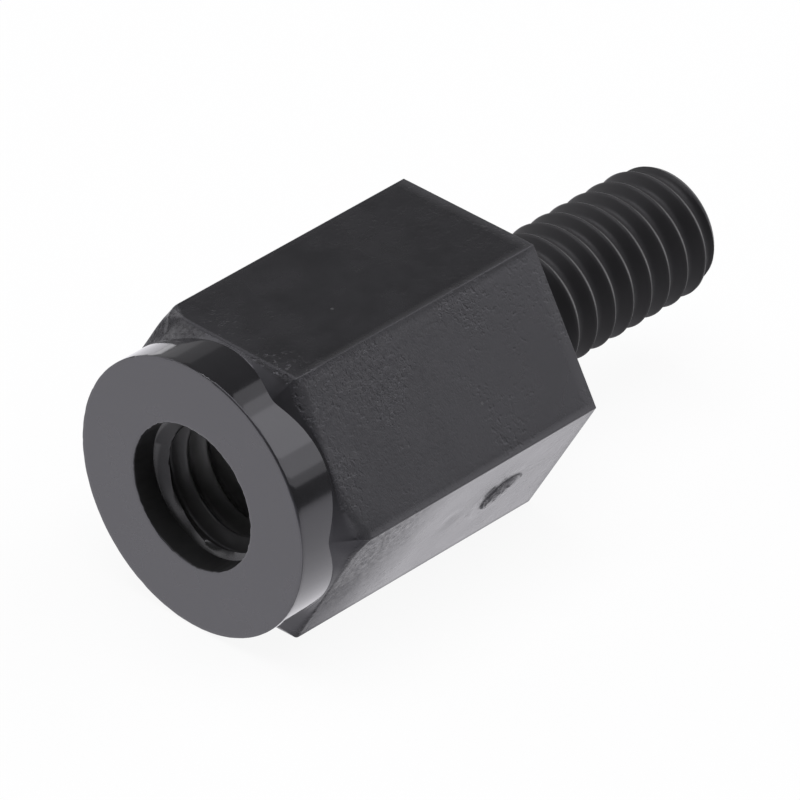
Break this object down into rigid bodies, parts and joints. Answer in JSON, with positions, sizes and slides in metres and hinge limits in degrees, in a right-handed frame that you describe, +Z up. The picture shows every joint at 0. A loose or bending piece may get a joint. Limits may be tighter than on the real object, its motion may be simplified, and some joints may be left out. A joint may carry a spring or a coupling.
{
  "type": "hex standoff",
  "caption": "Moulded nylon hex standoff, male to female, with a round scalloped collar at the threaded socket and a threaded stud at the other end.",
  "frame": {"origin": "middle of the footprint, on the surface that the standoff lies on", "axes": "+X along the axis from the stud to the collar, +Z up, square to the hex flat that it lies on"},
  "size_m": [0.018, 0.0092, 0.0079],
  "materials": {
    "nylon": "black moulded nylon, polished on the collar, finely spark-textured on the flats"
  },
  "bodies": {
    "root": {"standoff": "nylon"}
  },
  "joints": []
}
